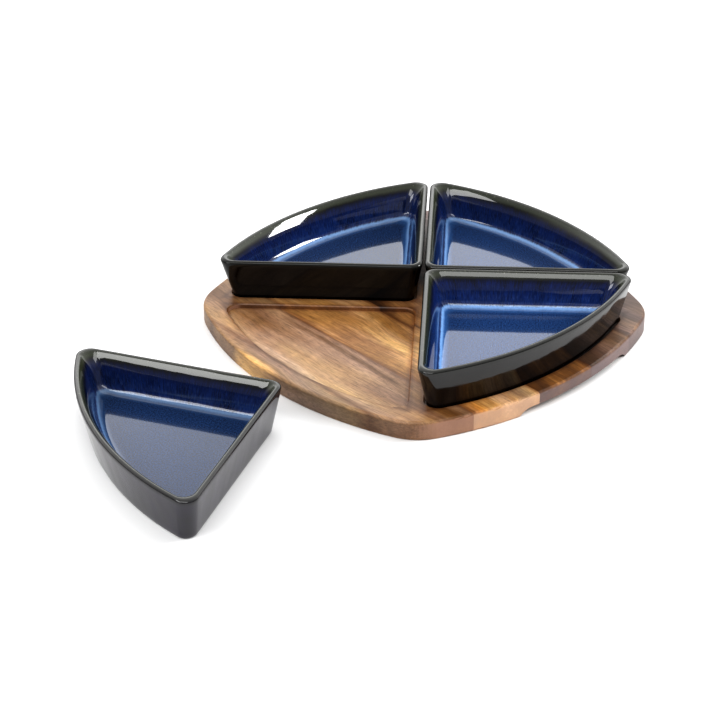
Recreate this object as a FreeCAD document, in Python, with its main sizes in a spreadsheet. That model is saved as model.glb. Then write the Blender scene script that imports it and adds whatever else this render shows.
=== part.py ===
"""Chip and dip server: four wedge-shaped stoneware bowls and the edge-glued wooden board they sit on.

Millimetres, +Z up. The origin is the centre of the board on its underside. The board is a square
with bowed sides that stands on one corner in plan: the rails between its recesses lie on X and Y.
Three bowls stand in their recesses, the fourth stands on the table in front of its empty recess.
"""
import FreeCAD, Part
import math
import os
import PartDesign
import Sketcher
from FreeCAD import Placement, Rotation, Vector

ROOT_TWO = math.sqrt(2)

SIZES = {
    # board
    "board_thickness": 15.0,
    "board_reach": 156.4,      # centre to the middle of a side
    "side_radius": 276.0,      # bow of each side
    "corner_radius": 42.5,
    "top_round": 2.5,
    "bottom_round": 1.2,
    "recess_depth": 3.5,
    "recess_clearance": 1.2,   # gap all round a bowl's foot
    "recess_bevel": 0.8,
    "middle_stave": 56.0,
    "inner_stave": 56.0,
    # finger notch under the edge
    "notch_wall": 140.0,       # centre of the board to the notch's inner wall
    "notch_height": 5.5,
    "notch_length": 124.0,
    "notch_shift": 16.0,       # the notch's middle, along the side
    "notch_round": 14.0,
    # bowls
    "half_gap": 0.8,           # rim to the plane between two bowls
    "bowl_reach": 144.9,       # right-angle corner to the middle of the bowed side
    "bow_radius": 255.4,
    "bowl_height": 37.5,
    "rim_corner": 9.0,
    "rim_tip": 9.5,
    "shoulder_height": 35.8,   # where the rim starts to round over
    "crest_inset": 1.5,
    "crest_corner": 8.0,
    "foot_inset": 6.3,
    "foot_corner": 8.0,
    "heel_height": 1.8,        # the foot's bevelled edge
    "sole_inset": 7.8,
    # inside of a bowl
    "mouth_inset": 3.3,
    "wall_inset": 4.8,
    "flare_height": 30.0,      # where the wall starts to flare towards the rim
    "flare_inset": 8.4,
    "inner_corner": 8.0,
    "floor_height": 10.0,
    "floor_inset": 20.5,
    "floor_corner": 6.0,
    "cove_height": 17.0,
    "cove_inset": 12.5,
    "cove_middle_height": 12.3,
    "cove_middle_inset": 14.8,
    "ring_inset": 13.5,        # inner edge of the ring that the bowl stands on
    "ring_corner": 5.0,
    "ring_depth": 2.5,
    # the bowl that stands on the table
    "aside_x": -93.2,          # its right-angle corner
    "aside_y": -159.8,
    "aside_turn": 164.3,
}

doc = FreeCAD.newDocument("server")
sheet = doc.addObject("Spreadsheet::Sheet", "sizes")
for row, (alias, number) in enumerate(SIZES.items(), start=1):
    sheet.set("A%d" % row, alias)
    sheet.set("B%d" % row, str(number))
    sheet.setAlias("B%d" % row, alias)
doc.recompute()


def size(alias):
    """A driving dimension, read back from the sheet."""
    return float(sheet.get(alias))


def cell(alias):
    """The same dimension as a term of an expression."""
    return "<<sizes>>." + alias


# ---------------------------------------------------------------- sketches

def origin_feature(body, role):
    """One of a body's own origin planes or axes."""
    return next(o for o in body.Origin.OriginFeatures if o.Role == role)


def new_body(name):
    body = doc.addObject("PartDesign::Body", name)
    doc.recompute()
    return body


def flat_sketch(body, name, height="0"):
    """A sketch parallel to the body's XY plane, at a height given by an expression."""
    sketch = body.newObject("Sketcher::SketchObject", name)
    sketch.AttachmentSupport = [(origin_feature(body, "XY_Plane"), "")]
    sketch.MapMode = "FlatFace"
    sketch.setExpression("AttachmentOffset.Base.z", height)
    return sketch


def bind(sketch, constraint, expression):
    """Add a dimension to a sketch and bind it to the sheet."""
    index = sketch.addConstraint(constraint)
    sketch.setExpression("Constraints[%d]" % index, expression)


def place(sketch, kind, geometry, point, sign, distance, expression):
    """Hold a point's DistanceX or DistanceY from the origin, on the positive or negative side."""
    ends = (-1, 1, geometry, point) if sign > 0 else (geometry, point, -1, 1)
    bind(sketch, Sketcher.Constraint(kind, *ends, distance), expression)


def arc(centre, radius, start, end):
    """A circular arc from one angle to another, anticlockwise."""
    circle = Part.Circle(Vector(centre[0], centre[1], 0), Vector(0, 0, 1), radius)
    return Part.ArcOfCircle(circle, start, end)


def join_tangent(sketch, order):
    """Join each piece of a closed outline to the next with no corner."""
    for (first, _), (second, _) in zip(order, order[1:] + order[:1]):
        first_end, second_start = dict(order)[first][1], dict(order)[second][0]
        sketch.addConstraint(Sketcher.Constraint("Tangent", first, first_end, second, second_start))


def wedge_outline(sketch, inset, corner, tip):
    """A right-angled wedge with a bowed third side, set in from the rim by an inset.

    inset, corner and tip are pairs of a number and its expression.
    """
    low = size("half_gap") + inset[0]
    radius = size("bow_radius") - inset[0]
    back = (size("bow_radius") - size("bowl_reach")) / ROOT_TWO - size("half_gap")
    across = math.sqrt((radius - tip[0]) ** 2 - (low + tip[0] + back) ** 2) - back
    turn = math.atan2(low + tip[0] + back, across + back)
    quarter = math.pi / 2

    near, far = low + corner[0], across
    pieces = [
        Part.LineSegment(Vector(near, low, 0), Vector(far, low, 0)),
        arc((far, low + tip[0]), tip[0], -quarter, turn),
        arc((-back, -back), radius, turn, quarter - turn),
        arc((low + tip[0], far), tip[0], quarter - turn, 2 * quarter),
        Part.LineSegment(Vector(low, far, 0), Vector(low, near, 0)),
        arc((near, near), corner[0], 2 * quarter, 3 * quarter),
    ]
    sketch.addGeometry(pieces, False)
    join_tangent(sketch, [(index, (1, 2)) for index in range(len(pieces))])

    low_is = "%s + %s" % (cell("half_gap"), inset[1])
    back_is = "(%s - %s) / sqrt(2) - %s" % (cell("bow_radius"), cell("bowl_reach"), cell("half_gap"))
    radius_is = "%s - (%s)" % (cell("bow_radius"), inset[1])
    sketch.addConstraint(Sketcher.Constraint("Horizontal", 0))
    sketch.addConstraint(Sketcher.Constraint("Vertical", 4))
    place(sketch, "DistanceY", 0, 1, 1, low, low_is)
    place(sketch, "DistanceX", 4, 1, 1, low, low_is)
    place(sketch, "DistanceX", 2, 3, -1, back, back_is)
    place(sketch, "DistanceY", 2, 3, -1, back, back_is)
    bind(sketch, Sketcher.Constraint("Radius", 2, radius), radius_is)
    for index in (1, 3):
        bind(sketch, Sketcher.Constraint("Radius", index, tip[0]), tip[1])
    bind(sketch, Sketcher.Constraint("Radius", 5, corner[0]), corner[1])


def measure(alias):
    """A dimension as the pair of number and expression that wedge_outline takes; None is zero."""
    return (size(alias), cell(alias)) if alias else (0.0, "0")


def bowed_square(sketch):
    """The board's outline: four bowed sides and four round corners that lie on the axes."""
    radius, corner = size("side_radius"), size("corner_radius")
    back = (radius - size("board_reach")) / ROOT_TWO
    corner_at = math.sqrt((radius - corner) ** 2 - back ** 2) - back
    turn = math.atan2(back, corner_at + back)
    quarter = math.pi / 2

    pieces = []
    for index in range(4):
        heading = index * quarter
        side_x, side_y = math.cos(heading + quarter / 2), math.sin(heading + quarter / 2)
        pieces.append(arc((corner_at * math.cos(heading), corner_at * math.sin(heading)),
                          corner, heading - turn, heading + turn))
        pieces.append(arc((-back * ROOT_TWO * side_x, -back * ROOT_TWO * side_y),
                          radius, heading + turn, heading + quarter - turn))
    sketch.addGeometry(pieces, False)
    join_tangent(sketch, [(index, (1, 2)) for index in range(len(pieces))])

    back_is = "(%s - %s) / sqrt(2)" % (cell("side_radius"), cell("board_reach"))
    for index in range(4):
        side = 2 * index + 1
        sign_x = -1 if index in (0, 3) else 1
        sign_y = -1 if index in (0, 1) else 1
        place(sketch, "DistanceX", side, 3, sign_x, back, back_is)
        place(sketch, "DistanceY", side, 3, sign_y, back, back_is)
        bind(sketch, Sketcher.Constraint("Radius", side, radius), cell("side_radius"))
        bind(sketch, Sketcher.Constraint("Radius", side - 1, corner), cell("corner_radius"))


def notch_outline(sketch):
    """The notch seen from the side: a flat ceiling with a round end each way, open at the bottom."""
    height, end = size("notch_height"), size("notch_round")
    shift = size("notch_shift")
    drop = end - height
    reach = size("notch_length") / 2 - math.sqrt(end ** 2 - drop ** 2)
    below = 1.0
    dip = math.asin((drop - below) / end)

    left, right = shift - reach, shift + reach
    foot = math.sqrt(end ** 2 - (drop - below) ** 2)
    pieces = [
        Part.LineSegment(Vector(right, height, 0), Vector(left, height, 0)),
        arc((left, -drop), end, math.pi / 2, math.pi - dip),
        Part.LineSegment(Vector(left - foot, -below, 0), Vector(right + foot, -below, 0)),
        arc((right, -drop), end, dip, math.pi / 2),
    ]
    sketch.addGeometry(pieces, False)
    sketch.addConstraint(Sketcher.Constraint("Tangent", 0, 2, 1, 1))
    sketch.addConstraint(Sketcher.Constraint("Coincident", 1, 2, 2, 1))
    sketch.addConstraint(Sketcher.Constraint("Coincident", 2, 2, 3, 1))
    sketch.addConstraint(Sketcher.Constraint("Tangent", 3, 2, 0, 1))
    sketch.addConstraint(Sketcher.Constraint("Horizontal", 2))
    sketch.addConstraint(Sketcher.Constraint("DistanceY", 2, 1, -1, 1, below))

    drop_is = "%s - %s" % (cell("notch_round"), cell("notch_height"))
    reach_is = "(%s / 2 - sqrt(%s ^ 2 - (%s) ^ 2))" % (cell("notch_length"), cell("notch_round"), drop_is)
    left_is = "%s - %s" % (reach_is, cell("notch_shift"))
    right_is = "%s + %s" % (reach_is, cell("notch_shift"))
    for index, sign, distance, expression in ((1, -1, -left, left_is), (3, 1, right, right_is)):
        place(sketch, "DistanceX", index, 3, sign, distance, expression)
        place(sketch, "DistanceY", index, 3, -1, drop, drop_is)
        bind(sketch, Sketcher.Constraint("Radius", index, end), cell("notch_round"))


# ---------------------------------------------------------------- features

def edges_at(shape, height, keep=lambda edge: True):
    """Names of the edges that lie flat at a height."""
    names = []
    for number, edge in enumerate(shape.Edges, start=1):
        box = edge.BoundBox
        if abs(box.ZMin - height) < 1e-4 and abs(box.ZMax - height) < 1e-4 and keep(edge):
            names.append("Edge%d" % number)
    return names


def dress_edges(body, kind, name, names, alias):
    """Round ("Fillet") or bevel ("Chamfer") the named edges of the body's last feature."""
    last = body.Tip
    dressing = body.newObject("PartDesign::" + kind, name)
    dressing.Base = (last, names)
    dressing.setExpression("Radius" if kind == "Fillet" else "Size", cell(alias))
    doc.recompute()


def cut(body, name, sketch, length, backwards):
    """Pocket a sketch into the body, and make sure that it took material away."""
    before = body.Shape.Volume
    pocket = body.newObject("PartDesign::Pocket", name)
    pocket.Profile = sketch
    pocket.Reversed = backwards
    pocket.setExpression("Length", length)
    doc.recompute()
    if not body.Shape.Volume < before - 1.0:
        raise RuntimeError(name + " cut nothing")
    return pocket


def repeat_round(body, name, feature, count):
    """Repeat a feature round the body's vertical axis."""
    before = body.Shape.Volume
    pattern = body.newObject("PartDesign::PolarPattern", name)
    pattern.Originals = [feature]
    pattern.Axis = (origin_feature(body, "Z_Axis"), [""])
    pattern.Angle = 360
    pattern.Occurrences = count
    body.Tip = pattern
    doc.recompute()
    if not body.Shape.Volume < before - 1.0:
        raise RuntimeError(name + " repeated nothing")
    return pattern


# ---------------------------------------------------------------- board

def board_blank():
    """The whole board with its recesses and finger notches, before it is divided into staves."""
    body = new_body("board_blank")
    outline = flat_sketch(body, "board_outline")
    bowed_square(outline)
    pad = body.newObject("PartDesign::Pad", "board_slab")
    pad.Profile = outline
    pad.setExpression("Length", cell("board_thickness"))
    doc.recompute()
    top = size("board_thickness")
    dress_edges(body, "Fillet", "top_edge", edges_at(body.Shape, top), "top_round")
    dress_edges(body, "Fillet", "bottom_edge", edges_at(body.Shape, 0.0), "bottom_round")

    recess_inset = (size("foot_inset") - size("recess_clearance"),
                    "%s - %s" % (cell("foot_inset"), cell("recess_clearance")))
    recess = flat_sketch(body, "recess_outline", cell("board_thickness"))
    wedge_outline(recess, recess_inset, measure("rim_corner"), measure("rim_tip"))
    pocket = cut(body, "recess", recess, cell("recess_depth"), False)
    repeat_round(body, "recesses", pocket, 4)

    outline_radii = [size(alias) - size("top_round") for alias in ("side_radius", "corner_radius")]

    def on_recess(edge):
        curve = edge.Curve
        return not (hasattr(curve, "Radius") and min(abs(curve.Radius - r) for r in outline_radii) < 1e-3)

    dress_edges(body, "Chamfer", "recess_edge", edges_at(body.Shape, top, on_recess), "recess_bevel")

    notch = body.newObject("Sketcher::SketchObject", "notch_outline")
    notch.AttachmentSupport = [(origin_feature(body, "XZ_Plane"), "")]
    notch.MapMode = "FlatFace"
    notch.AttachmentOffset = Placement(Vector(), Rotation(Vector(0, 1, 0), 45))
    for axis in ("x", "z"):
        notch.setExpression("AttachmentOffset.Base." + axis, cell("notch_wall") + " / sqrt(2)")
    notch_outline(notch)
    notch_cut = cut(body, "notch", notch, "%s - %s + 5" % (cell("board_reach"), cell("notch_wall")), True)
    repeat_round(body, "notches", notch_cut, 2)
    return body


def stave(number, blank, start, width, width_is):
    """One glued-up stave: the part of the board between two lines along the grain."""
    margin = 10.0
    half_run = size("board_reach") + margin
    slab = doc.addObject("Part::Box", "slab_%d" % number)
    slab.setExpression("Length", "2 * (%s + %g)" % (cell("board_reach"), margin))
    slab.setExpression("Width", width_is)
    slab.setExpression("Height", "%s + %g" % (cell("board_thickness"), 2 * margin))
    slab.Width = width
    across, along = Vector(1, 1, 0) / ROOT_TWO, Vector(1, -1, 0) / ROOT_TWO
    corner = across * start - along * half_run - Vector(0, 0, margin)
    slab.Placement = Placement(corner, Rotation(Vector(0, 0, 1), -45))
    piece = doc.addObject("Part::Common", "board_stave_%d" % number)
    piece.Base = blank
    piece.Tool = slab
    piece.Label = "board_stave_%d" % number
    return piece


def staves(blank):
    """Five staves, from the front left side to the back right side."""
    middle, inner = size("middle_stave"), size("inner_stave")
    outer = size("board_reach") - middle / 2 - inner
    beyond = 5.0
    outer_is = "%s - %s / 2 - %s + %g" % (cell("board_reach"), cell("middle_stave"), cell("inner_stave"), beyond)
    widths = [
        (outer + beyond, outer_is),
        (inner, cell("inner_stave")),
        (middle, cell("middle_stave")),
        (inner, cell("inner_stave")),
        (outer + beyond, outer_is),
    ]
    start = -size("board_reach") - beyond
    pieces = []
    for number, (width, width_is) in enumerate(widths, start=1):
        pieces.append(stave(number, blank, start, width, width_is))
        start += width
    return pieces


# ---------------------------------------------------------------- bowls

# Each level of a loft: sketch name, height, inset, radius of the right-angle corner, radius of the tips.
OUTSIDE_LEVELS = [
    ("sole_outline", None, "sole_inset", "foot_corner", "foot_corner"),
    ("heel_outline", "heel_height", "foot_inset", "foot_corner", "foot_corner"),
    ("shoulder_outline", "shoulder_height", None, "rim_corner", "rim_tip"),
    ("crest_outline", "bowl_height", "crest_inset", "crest_corner", "crest_corner"),
]
INSIDE_LEVELS = [
    ("floor_outline", "floor_height", "floor_inset", "floor_corner", "floor_corner"),
    ("cove_outline", "cove_middle_height", "cove_middle_inset", "floor_corner", "floor_corner"),
    ("wall_outline", "cove_height", "cove_inset", "floor_corner", "floor_corner"),
    ("flare_outline", "flare_height", "flare_inset", "inner_corner", "inner_corner"),
    ("lip_outline", "shoulder_height", "wall_inset", "inner_corner", "inner_corner"),
    ("mouth_outline", "bowl_height", "mouth_inset", "inner_corner", "inner_corner"),
]


def loft(body, kind, name, levels):
    """A straight-sided loft through wedge outlines at rising levels."""
    sketches = []
    for sketch_name, height, inset, corner, tip in levels:
        level = flat_sketch(body, sketch_name, measure(height)[1])
        wedge_outline(level, measure(inset), measure(corner), measure(tip))
        sketches.append(level)
    solid = body.newObject("PartDesign::" + kind, name)
    solid.Profile = sketches[0]
    solid.Sections = sketches[1:]
    solid.Ruled = True
    doc.recompute()


def bowl(name, placement):
    """One bowl in the first quadrant, its right-angle corner at the origin, moved to its place."""
    body = new_body(name)
    loft(body, "AdditiveLoft", "outside", OUTSIDE_LEVELS)
    block = body.Shape.Volume
    loft(body, "SubtractiveLoft", "inside", INSIDE_LEVELS)
    if not body.Shape.Volume < 0.8 * block:
        raise RuntimeError(name + " has no inside")
    ring = flat_sketch(body, "ring_outline")
    wedge_outline(ring, measure("ring_inset"), measure("ring_corner"), measure("ring_corner"))
    cut(body, "ring_hollow", ring, cell("ring_depth"), True)
    body.Label = name
    body.Placement = placement
    return body


def in_recess(quarter_turns):
    """The place of a bowl that stands on the floor of a recess."""
    rest = size("board_thickness") - size("recess_depth")
    return Placement(Vector(0, 0, rest), Rotation(Vector(0, 0, 1), 90 * quarter_turns))


def set_aside():
    """The place of the bowl that stands on the table."""
    turn = Rotation(Vector(0, 0, 1), size("aside_turn"))
    corner = Vector(size("half_gap"), size("half_gap"), 0)
    return Placement(Vector(size("aside_x"), size("aside_y"), 0) - turn.multVec(corner), turn)


# ---------------------------------------------------------------- build and export

blank = board_blank()
sub_parts = staves(blank) + [
    bowl("bowl_back_right", in_recess(0)),
    bowl("bowl_back_left", in_recess(1)),
    bowl("bowl_front_right", in_recess(3)),
    bowl("bowl_set_aside", set_aside()),
]
doc.recompute()

for item in doc.Objects:
    if "Invalid" in item.State or "Error" in item.State:
        raise RuntimeError("%s failed: %s" % (item.Name, item.State))
for part in sub_parts:
    if part.Shape.isNull() or not part.Shape.isValid() or len(part.Shape.Solids) != 1:
        raise RuntimeError(part.Label + " is not one valid solid")

os.makedirs("parts", exist_ok=True)
for part in sub_parts:
    part.Shape.exportStep("parts/%s.step" % part.Label)
    box = part.Shape.BoundBox
    print("%-18s volume %9.0f mm3  x %.1f..%.1f  y %.1f..%.1f  z %.2f..%.2f" % (
        part.Label, part.Shape.Volume, box.XMin, box.XMax, box.YMin, box.YMax, box.ZMin, box.ZMax))
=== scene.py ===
"""Looks of the chip and dip server: four glazed wedge-shaped bowls and their acacia board.

Metres, in the CAD frame. The board's staves are the CAD nodes with a wood material. Each bowl is a
lofted mesh that replaces its CAD node: its section is swept round a wedge outline with a bowed side.
"""
import math

import bpy
from mathutils import Matrix, Vector, noise


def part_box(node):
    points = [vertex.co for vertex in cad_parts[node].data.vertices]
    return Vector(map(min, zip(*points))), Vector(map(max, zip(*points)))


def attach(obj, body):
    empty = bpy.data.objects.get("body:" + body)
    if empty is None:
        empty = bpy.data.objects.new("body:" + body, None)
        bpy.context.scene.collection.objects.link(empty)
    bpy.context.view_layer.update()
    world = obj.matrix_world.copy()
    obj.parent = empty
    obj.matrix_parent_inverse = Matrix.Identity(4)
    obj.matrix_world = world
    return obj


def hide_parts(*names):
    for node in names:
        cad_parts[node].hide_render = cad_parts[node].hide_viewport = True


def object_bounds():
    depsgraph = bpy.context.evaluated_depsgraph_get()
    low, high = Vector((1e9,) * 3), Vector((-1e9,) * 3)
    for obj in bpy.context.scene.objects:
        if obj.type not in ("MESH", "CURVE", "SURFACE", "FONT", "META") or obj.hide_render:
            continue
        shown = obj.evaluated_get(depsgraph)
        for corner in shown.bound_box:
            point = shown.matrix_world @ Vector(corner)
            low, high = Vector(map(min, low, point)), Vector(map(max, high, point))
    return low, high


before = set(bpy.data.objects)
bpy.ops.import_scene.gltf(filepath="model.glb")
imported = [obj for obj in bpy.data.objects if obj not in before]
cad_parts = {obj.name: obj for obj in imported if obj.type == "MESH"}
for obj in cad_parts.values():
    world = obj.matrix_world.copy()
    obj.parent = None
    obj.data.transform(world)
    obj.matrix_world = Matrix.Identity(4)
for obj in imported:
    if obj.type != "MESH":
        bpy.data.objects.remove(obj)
cad_box = [list(corner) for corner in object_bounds()]

MM = 0.001
QUARTER = math.pi / 2

# ------------------------------------------------------------------ sizes of a bowl
HALF_GAP = 0.8 * MM            # rim to the plane between two bowls
BOWL_REACH = 144.9 * MM        # right-angle corner to the middle of the bowed side
BOW_RADIUS = 255.4 * MM
RIM_CORNER = 9.0 * MM
RIM_TIP = 9.5 * MM
FOOT_CORNER = 8.0 * MM
BOWL_HEIGHT = 37.5 * MM
RIM_THICKNESS = 4.8 * MM
RIM_RISE = 2.3 * MM            # height of the round-over
FOOT_INSET = 6.3 * MM
HEEL_RADIUS = 2.0 * MM
RING_INSET = 13.5 * MM         # inner edge of the ring it stands on
RING_DEPTH = 2.5 * MM
RING_ROUND = 0.9 * MM
RING_CORNER = 5.0 * MM
INNER_CORNER = 8.0 * MM
FLOOR_CORNER = 6.0 * MM
FLOOR_HEIGHT = 10.0 * MM
FLOOR_INSET = 20.5 * MM
COVE_RADIUS = 8.0 * MM
LIP_DRAFT = math.radians(40)   # the inner wall flares out to the rim
WALL_DRAFT = math.radians(14)  # and is steeper at its foot
FLARE_FADE = 2.6               # how quickly the flare gives way to the wall
MIDDLE_INSET = 48.0 * MM       # the last ring before the middle of the floor
WOBBLE = 0.24 * MM             # how far the hand-finished wall strays

# mesh density
CORNER_STEPS = 12
LEG_STEPS = 30
TIP_STEPS = 14
BOW_STEPS = 48

# the board
STAVE_WIDTH = 56 * MM
RECESS_INSET = 5.1 * MM        # rim of a bowl to the side of its recess, in plan
RECESS_BEVEL = 0.8 * MM
RECESS_FLOOR = 11.5 * MM
GRAIN_TURN = math.radians(45)  # turns the board so that the grain lies along X


# the tent's light
SKY_LIGHT = 1.25
HORIZON = 0.14                 # how bright the tent is at the horizon, beside its walls
ROOF = 0.75                    # and overhead
BACKDROP = 1.85                # how much brighter it is behind the server

# ------------------------------------------------------------------ camera, light and floor

def camera():
    """The studio camera: a long lens that looks down at the server from the front."""
    place = Vector((33.12, -1226.29, 681.96)) * MM
    pitch, yaw, roll = math.radians(30.34), math.radians(-3.9), math.radians(-0.47)
    forward = Vector((math.sin(yaw) * math.cos(pitch), math.cos(yaw) * math.cos(pitch), -math.sin(pitch)))
    level = Vector((math.cos(yaw), -math.sin(yaw), 0))
    upright = level.cross(forward)
    right = level * math.cos(roll) + upright * math.sin(roll)
    up = upright * math.cos(roll) - level * math.sin(roll)
    data = bpy.data.cameras.new("camera")
    data.sensor_width = 36.0
    data.lens = 87.61
    thing = bpy.data.objects.new("camera", data)
    turn = Matrix((right, up, -forward)).transposed()
    thing.matrix_world = Matrix.Translation(place) @ turn.to_4x4()
    bpy.context.scene.collection.objects.link(thing)
    bpy.context.scene.camera = thing


def softbox(name, place, aim, width, height, power, roll=0.0):
    """A rectangular studio light that points at a spot."""
    data = bpy.data.lights.new(name, "AREA")
    data.shape = "RECTANGLE"
    data.size, data.size_y = width, height
    data.energy = power
    thing = bpy.data.objects.new(name, data)
    thing.location = place
    pointed = (Vector(aim) - Vector(place)).to_track_quat("-Z", "Y").to_matrix()
    thing.rotation_euler = (pointed @ Matrix.Rotation(roll, 3, "Z")).to_euler()
    bpy.context.scene.collection.objects.link(thing)
    return thing


def flag(light, piece):
    """Keeps a light off everything but one piece, as a photographer's flags do."""
    lit = bpy.data.collections.new(light.name + "_lights")
    lit.objects.link(piece)
    light.light_linking.receiver_collection = lit


def sky():
    """The white tent: dim at the horizon, bright above, brightest behind the server."""
    world = bpy.data.worlds.new("studio")
    bpy.context.scene.world = world
    world.use_nodes = True
    nodes, links = world.node_tree.nodes, world.node_tree.links

    def join(kind, *sources):
        made = nodes.new("ShaderNode" + kind)
        for socket, source in zip(made.inputs, sources):
            if isinstance(source, bpy.types.NodeSocket):
                links.new(source, socket)
            else:
                socket.default_value = source
        return made

    def grey(factor, stops):
        made = join("ValToRGB", factor)
        line = made.color_ramp.elements
        while len(line) < len(stops):
            line.new(0.5)
        for element, (place, level) in zip(line, stops):
            element.position, element.color = place, (level, level, level, 1)
        return made.outputs["Color"]

    position = nodes.new("ShaderNodeTexCoord")
    parts = join("SeparateXYZ", position.outputs["Generated"])
    height = parts.outputs["Z"]
    ahead = grey(height, ((0.0, HORIZON), (0.20, 0.22), (0.44, 0.20), (0.62, 0.50), (0.85, 0.58)))
    wall = grey(height, ((0.0, HORIZON), (0.17, 0.24), (0.34, 1.0), (0.505, 1.0), (0.57, 0.70),
                         (0.85, ROOF)))
    bright = join("Math", wall, BACKDROP)
    bright.operation = "MULTIPLY"
    rearward = join("Math", parts.outputs["Y"], 0.5, 0.5)
    rearward.operation = "MULTIPLY_ADD"
    behind = grey(rearward.outputs[0], ((0.38, 0.0), (0.92, 1.0)))
    total = nodes.new("ShaderNodeMix")
    for name, source in (("Factor", behind), ("A", ahead), ("B", bright.outputs[0])):
        links.new(source, total.inputs[name])
    backdrop = nodes["Background"]
    links.new(total.outputs[0], backdrop.inputs["Color"])
    backdrop.inputs["Strength"].default_value = SKY_LIGHT


def studio():
    """Soft studio light from a white tent and two tall softboxes, over a plain pale floor."""
    sky()
    softbox("left_window", (-1.035, -0.825, 0.94), (0.0, 0.0, 0.05), 0.80, 0.46, 6.0, math.radians(-20))
    softbox("front_box", (-0.30, -1.40, 1.70), (0.0, 0.0, 0.05), 1.50, 0.80, 13.0)
    fill = softbox("right_fill", (1.28, 0.145, 0.62), (0.0, 0.10, 0.10), 0.34, 0.64, 14.0)
    fill.visible_glossy = False

    bpy.ops.mesh.primitive_plane_add(size=14)
    floor = bpy.context.object
    floor.name = "floor"
    floor.location.z = cad_box[0][2]
    paint = Paint("floor_white")
    paint.set(Base_Color=(0.80, 0.80, 0.80, 1), Roughness=0.8)
    paint.set_level("Specular IOR Level", 0.1)
    floor.data.materials.append(paint.material)
    film = bpy.context.scene.view_settings
    film.view_transform = "Standard"
    film.look = "None"
    film.exposure = 0.40
    film.gamma = 0.82


# ------------------------------------------------------------------ material nodes

class Paint:
    """A material's node tree, built with short calls."""

    def __init__(self, name):
        self.material = bpy.data.materials.new(name)
        self.material.use_nodes = True
        self.tree = self.material.node_tree
        self.surface = self.tree.nodes["Principled BSDF"]

    def feed(self, socket, value):
        """Give a socket a number, a colour or another node's output."""
        if isinstance(value, bpy.types.NodeSocket):
            self.tree.links.new(value, socket)
        else:
            socket.default_value = value

    def set(self, **inputs):
        """Feed the surface's own sockets."""
        for name, value in inputs.items():
            self.feed(self.surface.inputs[name.replace("_", " ")], value)

    def set_level(self, name, value):
        """A value that is constant over the surface."""
        self.surface.inputs[name].default_value = value

    def node(self, kind, **inputs):
        """A new node with its inputs fed by name."""
        made = self.tree.nodes.new("ShaderNode" + kind)
        for name, value in inputs.items():
            self.feed(made.inputs[name.replace("_", " ")], value)
        return made

    def sum(self, operation, first, second=0.0, third=0.0):
        """One step of arithmetic."""
        made = self.tree.nodes.new("ShaderNodeMath")
        made.operation = operation
        for socket, value in zip(made.inputs, (first, second, third)):
            self.feed(socket, value)
        return made.outputs[0]

    def stretch(self, vector, scale, shift=(0, 0, 0), turn=0.0):
        """A vector turned about Z, then scaled and shifted."""
        if turn:
            rotated = self.node("Mapping", Vector=vector, Rotation=(0, 0, turn))
            vector = rotated.outputs[0]
        return self.node("Mapping", Vector=vector, Scale=scale, Location=shift).outputs[0]

    def noise(self, vector, scale, detail=3.0, roughness=0.5, distortion=0.0):
        made = self.node("TexNoise", Vector=vector, Scale=scale, Detail=detail,
                         Roughness=roughness, Distortion=distortion)
        return made.outputs[0]

    def ramp(self, factor, stops, ease="LINEAR"):
        """Colours, or greys, at places from 0 to 1."""
        made = self.node("ValToRGB", Fac=factor)
        line = made.color_ramp
        line.interpolation = ease
        while len(line.elements) < len(stops):
            line.elements.new(0.5)
        for element, (place, colour) in zip(line.elements, stops):
            element.position = place
            grey = isinstance(colour, (int, float))
            element.color = (colour, colour, colour, 1) if grey else (*colour, 1)
        return made.outputs[0]

    def mix(self, factor, first, second, kind="MIX"):
        """Two colours mixed."""
        made = self.tree.nodes.new("ShaderNodeMix")
        made.data_type = "RGBA"
        made.blend_type = kind
        self.feed(made.inputs["Factor"], factor)
        for index, colour in ((6, first), (7, second)):
            is_colour = isinstance(colour, tuple) and len(colour) == 3
            self.feed(made.inputs[index], (*colour, 1) if is_colour else colour)
        return made.outputs[2]

    def bump(self, height, distance, strength=1.0, below=None):
        made = self.node("Bump", Height=height, Distance=distance, Strength=strength)
        if below is not None:
            self.feed(made.inputs["Normal"], below)
        return made.outputs[0]


# ------------------------------------------------------------------ bowls

def wedge(inset, corner, tip):
    """The bowl's outline in the first quadrant, set in from the rim: points anticlockwise."""
    low = HALF_GAP + inset
    radius = BOW_RADIUS - inset
    back = (BOW_RADIUS - BOWL_REACH) / math.sqrt(2) - HALF_GAP
    across = math.sqrt((radius - tip) ** 2 - (low + tip + back) ** 2) - back
    turn = math.atan2(low + tip + back, across + back)

    def bend(centre, size, start, end, steps):
        angles = [start + (end - start) * step / steps for step in range(steps)]
        return [(centre[0] + size * math.cos(a), centre[1] + size * math.sin(a)) for a in angles]

    def line(start, end, steps):
        shares = [step / steps for step in range(steps)]
        return [tuple(a + (b - a) * share for a, b in zip(start, end)) for share in shares]

    near = low + corner
    points = bend((near, near), corner, 2 * QUARTER, 3 * QUARTER, CORNER_STEPS)
    points += line((near, low), (across, low), LEG_STEPS)
    points += bend((across, low + tip), tip, -QUARTER, turn, TIP_STEPS)
    points += bend((-back, -back), radius, turn, QUARTER - turn, BOW_STEPS)
    points += bend((low + tip, across), tip, QUARTER - turn, 2 * QUARTER, TIP_STEPS)
    points += line((low, across), (low, near), LEG_STEPS)
    return points


def steps_between(start, end, count):
    """Evenly spaced numbers that leave out both ends."""
    return [start + (end - start) * step / count for step in range(1, count)]


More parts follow.
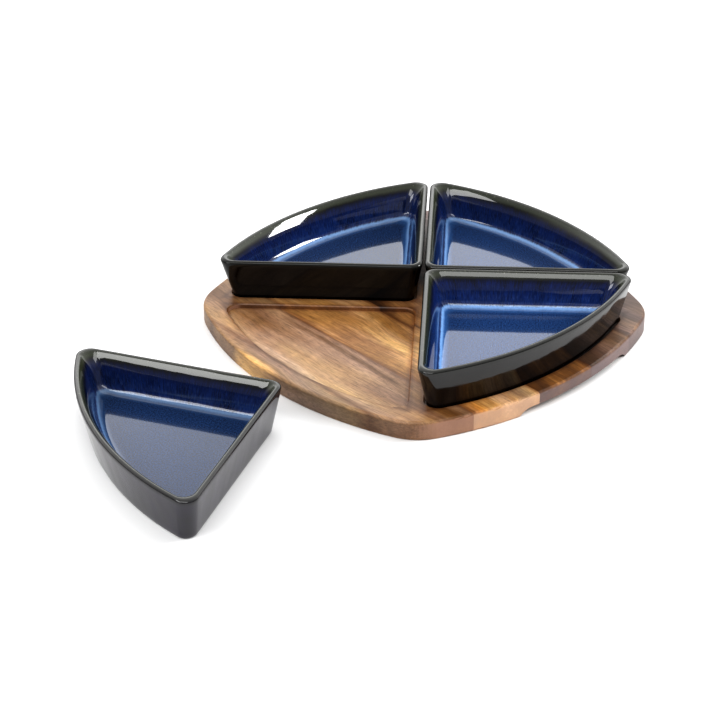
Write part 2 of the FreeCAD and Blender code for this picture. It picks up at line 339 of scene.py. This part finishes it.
def section():
    """A bowl's section, from under its middle to the middle of its floor, and the places along it.

    Each point is an inset, a height, and the radii of the corner and the tips there.
    """
    points, marks = [], {}

    def add(inset, height, corner, tip=None):
        points.append((inset, height, corner, corner if tip is None else tip))

    def mark(name):
        marks[name] = len(points) - 1

    # underneath: the hollow, the ring and the rounded heel
    for inset in (MIDDLE_INSET, 0.036, 0.024, RING_INSET + 3 * RING_ROUND):
        add(inset, RING_DEPTH, RING_CORNER)
    for angle in steps_between(0, QUARTER, 5):
        add(RING_INSET + RING_ROUND * (1 - math.sin(angle)),
            RING_DEPTH - RING_ROUND * (1 - math.cos(angle)), RING_CORNER)
    for angle in steps_between(0, QUARTER, 5):
        add(RING_INSET - RING_ROUND * (1 - math.cos(angle)),
            RING_ROUND * (1 - math.sin(angle)), RING_CORNER)
    add(RING_INSET - RING_ROUND, 0.0, RING_CORNER)
    mark("ring")
    sole = FOOT_INSET + HEEL_RADIUS
    for share in (0.4, 0.8):
        add(RING_INSET + (sole - RING_INSET) * share, 0.0, RING_CORNER + 2 * MM * share)
    add(sole, 0.0, FOOT_CORNER)
    mark("sole")
    outer_draft = math.atan2(FOOT_INSET, BOWL_HEIGHT - RIM_RISE)
    for angle in steps_between(0, QUARTER - outer_draft, 8):
        add(sole - HEEL_RADIUS * math.sin(angle), HEEL_RADIUS * (1 - math.cos(angle)), FOOT_CORNER)
    mark("foot")

    # the outer wall
    shoulder = BOWL_HEIGHT - RIM_RISE
    for share in steps_between(0, 1, 12):
        share = 1.04 * share - 0.02
        height = HEEL_RADIUS + (shoulder - HEEL_RADIUS) * share
        inset = FOOT_INSET * (1 - share)
        add(inset, height, FOOT_CORNER + (RIM_CORNER - FOOT_CORNER) * share,
            FOOT_CORNER + (RIM_TIP - FOOT_CORNER) * share)
    mark("shoulder")

    # over the rim
    for angle in [2 * QUARTER + (LIP_DRAFT - 2 * QUARTER) * step / 14 for step in range(15)]:
        share = (1 + math.cos(angle)) / 2
        corner = RIM_CORNER + (INNER_CORNER - RIM_CORNER) * share
        tip = RIM_TIP + (INNER_CORNER - RIM_TIP) * share
        add(RIM_THICKNESS * share, shoulder + RIM_RISE * math.sin(angle), corner, tip)
        if angle > QUARTER:
            mark("crest")
    mark("lip")
    lip = points[-1]

    # the inner wall, the cove and the floor
    cove_centre = (FLOOR_INSET, FLOOR_HEIGHT + COVE_RADIUS)
    wall_foot = (cove_centre[0] - COVE_RADIUS * math.cos(WALL_DRAFT),
                 cove_centre[1] - COVE_RADIUS * math.sin(WALL_DRAFT))
    count = 24
    drafts = [WALL_DRAFT + (LIP_DRAFT - WALL_DRAFT) * (1 - (step + 0.5) / count) ** FLARE_FADE
              for step in range(count)]
    widths = [math.tan(draft) for draft in drafts]
    reach = [sum(widths[:step]) / sum(widths) for step in range(1, count)]
    for share, done in zip(steps_between(0, 1, count), reach):
        add(lip[0] + (wall_foot[0] - lip[0]) * done,
            lip[1] + (wall_foot[1] - lip[1]) * share,
            INNER_CORNER + (FLOOR_CORNER - INNER_CORNER) * share)
    for angle in [WALL_DRAFT + (QUARTER - WALL_DRAFT) * step / 14 for step in range(15)]:
        add(cove_centre[0] - COVE_RADIUS * math.cos(angle),
            cove_centre[1] - COVE_RADIUS * math.sin(angle), FLOOR_CORNER)
        if angle == WALL_DRAFT:
            mark("wall_foot")
    mark("floor_edge")
    for share in steps_between(0, 1, 9):
        add(FLOOR_INSET + (MIDDLE_INSET - FLOOR_INSET) * share, FLOOR_HEIGHT,
            FLOOR_CORNER + 2 * MM * share)
    add(MIDDLE_INSET, FLOOR_HEIGHT, FLOOR_CORNER + 2 * MM)
    return points, marks


def distances(points):
    """How far along the section each point lies."""
    total, along = 0.0, [0.0]
    for (inset, height, *_), (next_inset, next_height, *_) in zip(points, points[1:]):
        total += math.hypot(next_inset - inset, next_height - height)
        along.append(total)
    return along


SECTION, MARKS = section()
ALONG = distances(SECTION)


def along_section(mark, further=0.0):
    """The place of a mark along the section, from 0 to 1, plus a distance in metres."""
    return (ALONG[MARKS[mark]] + further) / ALONG[-1]


def placing(node, turn):
    """Turns a bowl made in the first quadrant and moves it to where its CAD node stands."""
    spin = Matrix.Rotation(turn, 4, "Z")
    outline = [spin @ Vector((x, y, 0)) for x, y in wedge(0, RIM_CORNER, RIM_TIP)]
    low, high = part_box(node)
    shift = [(low[i] + high[i]) / 2 - (min(p[i] for p in outline) + max(p[i] for p in outline)) / 2
             for i in (0, 1)]
    return Matrix.Translation((*shift, low.z)) @ spin


def bowl(node, turn, seed, glazes):
    """One bowl as a closed mesh of rings, with its glazes mapped round and along the section.

    glazes are the materials inside, outside and of the bare ring.
    """
    place = placing(node, turn)
    vertices, local = [], []
    for inset, height, corner, tip in SECTION:
        for x, y in wedge(inset, corner, tip):
            spot = Vector((x * 34 + seed * 7, y * 34, height * 14))
            stray = WOBBLE * (0.5 + 0.5 * noise.noise(spot))
            x, y = wedge_shift(x, y, stray)
            drop = WOBBLE * (0.5 + 0.5 * noise.noise(spot * 0.7)) * (height / BOWL_HEIGHT)
            vertices.append(place @ Vector((x, y, height - drop)))
            local += [x, y, height]

    count = len(vertices) // len(SECTION)
    faces, around = [], []
    rim = wedge(0, RIM_CORNER, RIM_TIP)
    lengths = [math.dist(rim[i], rim[(i + 1) % count]) for i in range(count)]
    reach = [sum(lengths[:i]) for i in range(count + 1)]
    for level in range(len(SECTION) - 1):
        for i in range(count):
            after = (i + 1) % count
            faces.append((level * count + i, level * count + after,
                          (level + 1) * count + after, (level + 1) * count + i))
            around.append([(reach[i], ALONG[level]), (reach[i + 1], ALONG[level]),
                           (reach[i + 1], ALONG[level + 1]), (reach[i], ALONG[level + 1])])
    faces.append(tuple(reversed(range(count))))
    around.append([(reach[i], 0.0) for i in reversed(range(count))])
    top = (len(SECTION) - 1) * count
    faces.append(tuple(range(top, top + count)))
    around.append([(reach[i], ALONG[-1]) for i in range(count)])

    mesh = bpy.data.meshes.new(node + "_glazed")
    mesh.from_pydata(vertices, [], faces)
    mesh.polygons.foreach_set("use_smooth", [True] * len(faces))
    for glaze in glazes:
        mesh.materials.append(glaze)
    wrapped = mesh.uv_layers.new(name="around")
    mesh.attributes.new("local", "FLOAT_VECTOR", "POINT").data.foreach_set("vector", local)
    corner_index = 0
    for places in around:
        for u, v in places:
            wrapped.data[corner_index].uv = (u, v / ALONG[-1])
            corner_index += 1
    for polygon in mesh.polygons:
        level = polygon.index // count
        if MARKS["ring"] - 2 <= level < MARKS["sole"] + 2:
            polygon.material_index = 2
        elif level < MARKS["crest"] or polygon.index == len(faces) - 2:
            polygon.material_index = 1
    mesh.validate()

    piece = bpy.data.objects.new(node + "_glazed", mesh)
    bpy.context.scene.collection.objects.link(piece)
    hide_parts(node)
    return piece


def wedge_shift(x, y, distance):
    """Moves a point of an outline towards the middle of the wedge."""
    middle = Vector((0.062, 0.062))
    step = middle - Vector((x, y))
    step.normalize()
    return x + step.x * distance, y + step.y * distance


# ------------------------------------------------------------------ glaze

BLACK = (0.0012, 0.0009, 0.0014)
OLIVE = (0.0135, 0.0140, 0.0115)
LIP_OLIVE = (0.0215, 0.0265, 0.0130)
SPECK = (0.120, 0.125, 0.090)
NAVY = (0.0012, 0.0040, 0.026)
COBALT = (0.0020, 0.0110, 0.078)
ROYAL = (0.0095, 0.0340, 0.155)
VIOLET = (0.0200, 0.0300, 0.120)
POOL = (0.130, 0.240, 0.430)
POOL_EDGE = (0.020, 0.065, 0.170)
FLOOR_DARK = (0.0010, 0.0080, 0.036)
FLOOR_LIGHT = (0.0150, 0.0500, 0.145)
THREAD = (0.0700, 0.1150, 0.270)


def lighter(colour, times):
    return tuple(part * times for part in colour)


def local_place(paint):
    """A bowl's own coordinates, in metres from its right-angle corner."""
    node = paint.node("Attribute")
    node.attribute_name = "local"
    return node.outputs["Vector"]


def reactive_glaze(name, seed, wall, floor, pool):
    """The glossy glaze inside: olive on the rim, streaked cobalt down the wall, pale in the cove.

    wall, floor and pool say how much brighter than usual each is.
    """
    paint = Paint(name)
    around = paint.node("UVMap")
    around.uv_map = "around"
    place = local_place(paint)
    where = paint.node("SeparateXYZ", Vector=around.outputs[0])
    total = ALONG[-1]

    # runs of glaze: long thin streaks down the wall
    fine = paint.noise(paint.stretch(around.outputs[0], (900, 16, 1), (seed, seed * 2, 0)), 1.0, 3.0, 0.6)
    broad = paint.noise(paint.stretch(around.outputs[0], (70, 6, 1), (seed * 3, 0, 0)), 1.0, 2.0, 0.5)
    runs = paint.sum("ADD", paint.sum("MULTIPLY", fine, 0.6), paint.sum("MULTIPLY", broad, 0.4))
    sway = paint.sum("MULTIPLY", paint.sum("SUBTRACT", runs, 0.5), 0.0035 / total)
    level = paint.sum("ADD", where.outputs[1], sway)

    def bands(lip_below, upper, lower, foot, ground, paleness):
        """Colours from the rim's crest down the inner wall to the floor."""
        return paint.ramp(level, [
            (along_section("crest"), OLIVE),
            (along_section("lip", 1.5 * MM), LIP_OLIVE),
            (along_section("lip", 2.6 * MM), LIP_OLIVE),
            (along_section("lip", lip_below), BLACK),
            (along_section("lip", 9 * MM), upper),
            (along_section("wall_foot", 2 * MM), lower),
            (along_section("floor_edge", -7.4 * MM), foot),
            (along_section("floor_edge", -6.2 * MM), lighter(POOL, paleness)),
            (along_section("floor_edge", -5.2 * MM), lighter(POOL, paleness)),
            (along_section("floor_edge", -3.2 * MM), lighter(POOL_EDGE, paleness)),
            (along_section("floor_edge", 1.0 * MM), ground),
        ])

    dark = bands(5.5 * MM, NAVY, NAVY, NAVY, lighter(FLOOR_DARK, floor), pool * 0.8)
    bright = bands(4.5 * MM, lighter(COBALT, wall), lighter(ROYAL, wall), VIOLET,
                   lighter(FLOOR_LIGHT, floor), pool)
    speckle = paint.noise(place, 900.0, 2.0, 0.75)
    on_floor = paint.ramp(where.outputs[1], [
        (along_section("floor_edge", -8 * MM), 0.0), (along_section("floor_edge", -3 * MM), 1.0)])
    grain = paint.mix(on_floor, runs, speckle)
    share = paint.ramp(grain, [(0.36, 0.0), (0.64, 1.0)])
    colour = paint.mix(share, dark, bright)

    # hair-thin pale threads, denser towards the wall's foot
    hair = paint.noise(paint.stretch(around.outputs[0], (1500, 30, 1), (seed * 5, 0, 0)), 1.0, 2.0, 0.7)
    on_wall = paint.ramp(where.outputs[1], [
        (along_section("lip", 5 * MM), 0.0), (along_section("wall_foot"), 0.75),
        (along_section("floor_edge", -8 * MM), 0.9), (along_section("floor_edge", -6 * MM), 0.0)])
    threads = paint.sum("MULTIPLY", paint.ramp(hair, [(0.50, 0.0), (0.68, wall * 0.4)]), on_wall)
    colour = paint.mix(threads, colour, THREAD)

    # specks where the glaze breaks on the rim
    crawl = paint.ramp(paint.noise(place, 620.0, 2.0, 0.6), [(0.60, 0.0), (0.70, 0.7)])
    on_rim = paint.ramp(where.outputs[1], [
        (along_section("crest"), 1.0), (along_section("lip", 0.5 * MM), 1.0), (along_section("lip", 2 * MM), 0.0)])
    colour = paint.mix(paint.sum("MULTIPLY", crawl, on_rim), colour, SPECK)
    paint.set(Base_Color=colour, Roughness=0.05)
    paint.set_level("IOR", 1.62)
    ripple = paint.noise(paint.stretch(place, (1, 1, 0.35), (seed, 0, 0)), 48.0, 1.0)
    flat = paint.ramp(on_floor, [(0.0, 1.0), (1.0, 0.12)])
    paint.set(Normal=paint.bump(paint.sum("MULTIPLY", ripple, flat), 0.22 * MM, 1.0))
    return paint.material


def outer_glaze(name, seed, shade, gloss):
    """The black glaze outside, which breaks to olive where it thins over the rim."""
    paint = Paint(name)
    around = paint.node("UVMap")
    around.uv_map = "around"
    level = paint.node("SeparateXYZ", Vector=around.outputs[0]).outputs[1]
    place = local_place(paint)
    cloud = paint.noise(paint.stretch(place, (1, 1, 1), (seed, 0, 0)), 70.0, 3.0, 0.6)
    depth = paint.ramp(cloud, [(0.35, lighter(shade, 0.6)), (0.65, lighter(shade, 1.5))])
    rim = paint.ramp(level, [(along_section("shoulder", -1.5 * MM), 0.0), (along_section("crest"), 1.0)])
    paint.set(Base_Color=paint.mix(rim, depth, OLIVE), Roughness=paint.ramp(cloud, [(0.3, 0.06), (0.7, 0.11)]))
    paint.set_level("IOR", gloss)
    ripple = paint.noise(paint.stretch(place, (1, 1, 0.5), (0, seed, 0)), 30.0, 2.0)
    paint.set(Normal=paint.bump(ripple, 0.7 * MM, 1.0))
    return paint.material


def bare_clay():
    """The unglazed ring underneath: dark buff stoneware with specks."""
    paint = Paint("bare_clay")
    specks = paint.noise(local_place(paint), 1400.0, 3.0, 0.7)
    colour = paint.ramp(specks, [(0.35, (0.050, 0.036, 0.026)), (0.65, (0.145, 0.105, 0.075))])
    paint.set(Base_Color=colour, Roughness=0.85, Normal=paint.bump(specks, 0.05 * MM))
    return paint.material


# ------------------------------------------------------------------ wood

def acacia(name, seed, pith, tones, end, streaks=()):
    """Oiled acacia: rings about a pith below the board, soft bands, fibres and pores along the grain.

    pith is where the heart of the log lies, across the board and in height; tones are the stave's
    dark, middle and light colours and end its colour on end grain, with a painted reflection of the
    pale floor mixed in. Each of streaks is a band of other wood, one of them with a painted highlight
    of the rounded edge: its middle across the board, half its width, where along the grain it starts
    and stops, and its tint.
    """
    paint = Paint(name)
    spot = paint.node("TexCoord").outputs["Object"]
    turned = paint.stretch(spot, (1, 1, 1), (0, 0, 0), GRAIN_TURN)
    along, across, up = paint.node("SeparateXYZ", Vector=turned).outputs

    # the grain isn't straight: it bends a little sideways along the stave
    bend = paint.noise(paint.stretch(turned, (7, 9, 9), (seed, 0, seed)), 1.0, 1.0)
    bent = paint.sum("MULTIPLY_ADD", paint.sum("SUBTRACT", bend, 0.5), 0.040, across)
    grain = paint.node("CombineXYZ", X=along, Y=bent, Z=up).outputs[0]

    def figure(length, width, shift, detail=2.0, roughness=0.5, distortion=0.0):
        scaled = paint.stretch(grain, (length, width, width), (seed * shift, seed, shift))
        return paint.noise(scaled, 1.0, detail, roughness, distortion)

    # growth rings: pale early wood that ends in a thin dark line
    sideways = paint.sum("SUBTRACT", bent, pith[0])
    upward = paint.sum("SUBTRACT", up, pith[1])
    radius = paint.sum("SQRT", paint.sum("ADD", paint.sum("MULTIPLY", sideways, sideways),
                                         paint.sum("MULTIPLY", upward, upward)))
    radius = paint.sum("MULTIPLY_ADD", figure(12, 50, 2.0), 0.006, radius)
    ring = paint.sum("FRACT", paint.sum("MULTIPLY", radius, 1 / 0.0085))
    line = paint.ramp(ring, [(0.0, 0.92), (0.35, 1.0), (0.80, 0.93), (0.93, 0.74), (1.0, 0.92)], "EASE")

    # broad patches of colour, streaks inside them, and fine fibres
    patches = figure(6, 30, 3.0, 2.0, 0.5, 0.8)
    bands = figure(11, 120, 4.0, 3.0, 0.6, 0.3)
    lines = figure(24, 360, 9.0, 2.0, 0.6)
    tint = paint.sum("MULTIPLY", patches, 0.60)
    tint = paint.sum("MULTIPLY_ADD", bands, 0.24, tint)
    tint = paint.sum("MULTIPLY_ADD", lines, 0.16, tint)
    dark, middle, light = tones
    colour = paint.ramp(tint, [(0.37, dark), (0.49, middle), (0.61, light)])
    warmth = paint.ramp(figure(9, 38, 11.0, 1.0), [(0.38, PINKISH), (0.62, GOLDEN)])
    colour = paint.mix(1.0, colour, warmth, "MULTIPLY")
    colour = paint.mix(0.16, colour, line, "MULTIPLY")
    curl = paint.ramp(figure(130, 30, 7.0, 2.0), [(0.38, 0.84), (0.62, 1.12)])
    colour = paint.mix(0.45, colour, curl, "MULTIPLY")
    fibres = figure(80, 1050, 5.0, 3.0, 0.75)
    thread = paint.ramp(fibres, [(0.33, 0.64), (0.50, 1.0), (0.68, 1.24)])
    colour = paint.mix(1.0, colour, thread, "MULTIPLY")
    pores = figure(160, 2300, 8.0, 2.0, 0.6)
    pore = paint.ramp(pores, [(0.33, 0.35), (0.40, 1.0)])
    colour = paint.mix(0.6, colour, pore, "MULTIPLY")
    broken = paint.ramp(figure(22, 90, 13.0), [(0.36, 0.45), (0.54, 1.0)])
    for middle_line, half_width, start, stop, other in streaks:
        off = paint.sum("ABSOLUTE", paint.sum("SUBTRACT", bent, middle_line))
        beside = paint.ramp(paint.sum("MULTIPLY", off, 0.5 / half_width), [(0.15, 1.0), (0.70, 0.0)])
        begun = paint.ramp(paint.sum("SUBTRACT", along, start), [(0.0, 0.0), (0.04, 1.0)])
        lasting = paint.ramp(paint.sum("SUBTRACT", stop, along), [(0.0, 0.0), (0.02, 1.0)])
        share = paint.sum("MULTIPLY", paint.sum("MULTIPLY", beside, begun), lasting)
        share = paint.sum("MULTIPLY", share, broken)
        colour = paint.mix(share, colour, paint.mix(1.0, colour, other, "MULTIPLY"))
    # darker glue lines, and painted shade and a painted highlight along the recess edges
    colour = paint.mix(1.0, colour, glue_and_painted_edge_light(paint, spot, across, up), "MULTIPLY")

    # painted shade on the upright sides, deepest on the long-grain sides, which face across the grain; end grain
    # faces along it
    normal = paint.node("NewGeometry").outputs["True Normal"]

    def facing(direction, begin, full):
        made = paint.node("VectorMath", Vector=normal)
        made.operation = "DOT_PRODUCT"
        made.inputs[1].default_value = direction
        return paint.ramp(paint.sum("ABSOLUTE", made.outputs["Value"]), [(begin, 0.0), (full, 1.0)])

    half = math.sqrt(0.5)
    side = paint.mix(facing((half, half, 0), 0.70, 0.92), SIDE_PAINTED_SHADE, LONG_SIDE_PAINTED_SHADE)
    upright = paint.sum("SUBTRACT", 1.0, facing((0, 0, 1), 0.15, 0.70))
    colour = paint.mix(upright, colour, paint.mix(1.0, colour, side, "MULTIPLY"))
    # end grain takes its own colour, mixed with a painted reflection of the pale floor
    colour = paint.mix(facing((half, -half, 0), 0.70, 0.92), colour, paint.mix(0.70, colour, end))
    paint.set(Base_Color=colour, Roughness=paint.ramp(fibres, [(0.3, 0.46), (0.7, 0.34)]))
    paint.set_level("IOR", 1.5)
    relief = paint.sum("MULTIPLY_ADD", fibres, 0.6, pores)
    paint.set(Normal=paint.bump(relief, 0.05 * MM, 0.6))
    return paint.material


def glue_and_painted_edge_light(paint, spot, across, up):
    """Darker lines at the glue joints, painted shade on the recess bevels and corners, a painted highlight just
    outside the bevels.
    """
    joint = paint.sum("PINGPONG", paint.sum("ADD", across, STAVE_WIDTH / 2), STAVE_WIDTH / 2)
    glue = paint.ramp(joint, [(0.0001, GLUE_AND_PAINTED_SHADE), (0.0006, CLEAN)])

    # how far inside its recess's outline a place lies; the four are alike
    x, y, _ = paint.node("SeparateXYZ", Vector=spot).outputs
    low = HALF_GAP + RECESS_INSET
    back = (BOW_RADIUS - BOWL_REACH) / math.sqrt(2) - HALF_GAP
    sizes = [paint.sum("ABSOLUTE", place) for place in (x, y)]
    reach = [paint.sum("ADD", place, back) for place in sizes]
    squares = [paint.sum("MULTIPLY", place, place) for place in reach]
    bow = paint.sum("SUBTRACT", BOW_RADIUS - RECESS_INSET,
                    paint.sum("SQRT", paint.sum("ADD", *squares)))
    inside = paint.sum("MINIMUM", bow, paint.sum("SUBTRACT", paint.sum("MINIMUM", *sizes), low))
    # painted shade over the bevel and in the recess corner, a painted highlight just outside the bevel
    line = paint.ramp(paint.sum("ADD", inside, 4 * MM), [
        (0.0000, CLEAN), (0.0014, PAINTED_EDGE_HIGHLIGHT), (0.0024, PAINTED_EDGE_HIGHLIGHT), (0.0028, GLUE_AND_PAINTED_SHADE), (0.0044, GLUE_AND_PAINTED_SHADE),
        (0.0070, CLEAN)])
    raised = paint.ramp(up, [(RECESS_FLOOR - 2 * MM, 0.0), (RECESS_FLOOR - 1 * MM, 1.0)])
    return paint.mix(1.0, glue, paint.mix(raised, CLEAN, line), "MULTIPLY")


CLEAN = (1.0, 1.0, 1.0)
# the dark of the glue lines, also used for the painted shade at the recess edges
GLUE_AND_PAINTED_SHADE = (0.56, 0.44, 0.34)
# a painted highlight beside the recess bevels
PAINTED_EDGE_HIGHLIGHT = (1.14, 1.14, 1.14)
PINKISH = (1.00, 0.98, 1.14)
GOLDEN = (1.06, 1.00, 0.78)
HEARTWOOD = (0.46, 0.36, 0.24)
BROWN = (0.72, 0.62, 0.40)
TAN = (1.20, 1.28, 1.28)
MAUVE = (0.60, 0.64, 0.80)
CREAM = (2.60, 3.10, 4.00)
AMBER = (1.30, 1.10, 0.60)
DULL = (0.74, 0.79, 0.84)
# sapwood, lightened further by a painted highlight of the rounded edge
SAPWOOD_AND_EDGE_HIGHLIGHT = (3.00, 3.20, 2.60)
ALL = 0.30                     # beyond the end of the board
# painted shade on the upright sides, deeper on the long-grain sides
SIDE_PAINTED_SHADE = (0.80, 0.74, 0.69)
LONG_SIDE_PAINTED_SHADE = (0.52, 0.48, 0.44)
# each stave's end colour is end grain with a painted reflection of the pale floor in it
STAVES = {
    "board_stave_1": dict(
        seed=3.1, pith=(-0.170, -0.060), end=(0.38, 0.21, 0.14),
        streaks=((-0.0875, 0.0024, -0.070, 0.085, HEARTWOOD), (-0.092, 0.012, 0.075, 0.160, HEARTWOOD),
                 (-0.112, 0.016, -0.050, 0.100, TAN), (-0.110, 0.012, -ALL, -0.050, BROWN),
                 (-0.143, 0.014, -0.060, 0.100, DULL),
                 # sapwood along the outer edge, with a painted highlight of the rounded edge in it
                 (-0.156, 0.005, -0.090, 0.010, SAPWOOD_AND_EDGE_HIGHLIGHT)),
        tones=((0.222, 0.118, 0.055), (0.335, 0.204, 0.108), (0.460, 0.310, 0.185))),
    "board_stave_2": dict(
        seed=7.7, pith=(-0.020, -0.050), end=(0.60, 0.39, 0.26),
        streaks=((-0.036, 0.006, -0.060, 0.060, BROWN), (-0.064, 0.011, 0.028, 0.110, CREAM),
                 (-0.076, 0.007, 0.100, ALL, AMBER),
                 (-0.034, 0.012, 0.080, ALL, MAUVE)),
        tones=((0.180, 0.083, 0.029), (0.378, 0.203, 0.080), (0.648, 0.416, 0.200))),
    "board_stave_3": dict(
        seed=1.9, pith=(0.030, -0.070), end=(0.16, 0.115, 0.110),
        tones=((0.070, 0.028, 0.009), (0.165, 0.072, 0.022), (0.350, 0.175, 0.062))),
    "board_stave_4": dict(
        seed=9.4, pith=(0.100, -0.050), end=(0.19, 0.140, 0.140),
        tones=((0.040, 0.019, 0.010), (0.090, 0.045, 0.026), (0.190, 0.110, 0.064))),
    "board_stave_5": dict(
        seed=5.3, pith=(0.160, -0.060), end=(0.15, 0.110, 0.105),
        tones=((0.040, 0.021, 0.015), (0.095, 0.053, 0.038), (0.210, 0.130, 0.098))),
}


def board():
    """Wood on the CAD staves, a material for each."""
    for node, look in STAVES.items():
        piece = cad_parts[node]
        piece.data.materials.clear()
        piece.data.materials.append(acacia(node + "_acacia", **look))


# ------------------------------------------------------------------ the whole

DEEP_BLACK = (0.0012, 0.0009, 0.0010)
PLUM_BLACK = (0.0070, 0.0050, 0.0140)
BOWLS = {
    "bowl_back_right": dict(turn=0.0, seed=1.3, inside=(1.0, 1.2, 1.4), outside=(DEEP_BLACK, 1.50)),
    "bowl_back_left": dict(
        turn=math.radians(90), seed=4.1, inside=(1.0, 0.9, 1.2), outside=(DEEP_BLACK, 1.36)),
    "bowl_front_right": dict(
        turn=math.radians(270), seed=8.6, inside=(1.5, 1.35, 1.7), outside=(DEEP_BLACK, 1.56)),
    "bowl_set_aside": dict(
        turn=math.radians(164.3), seed=6.2, inside=(0.9, 0.9, 0.85), outside=(PLUM_BLACK, 1.57)),
}

camera()
studio()
board()
clay = bare_clay()
glazed = {}
for node, look in BOWLS.items():
    seed = look["seed"]
    inside = reactive_glaze(node + "_glaze", seed, *look["inside"])
    outside = outer_glaze(node + "_black", seed, *look["outside"])
    glazed[node] = bowl(node, look["turn"], seed, (inside, outside, clay))
    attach(glazed[node], node)
window = softbox("right_window", (1.12, 0.14, 0.56), (0.0, 0.10, 0.10), 0.30, 0.56, 11.0)
window.visible_diffuse = False
flag(window, glazed["bowl_back_left"])
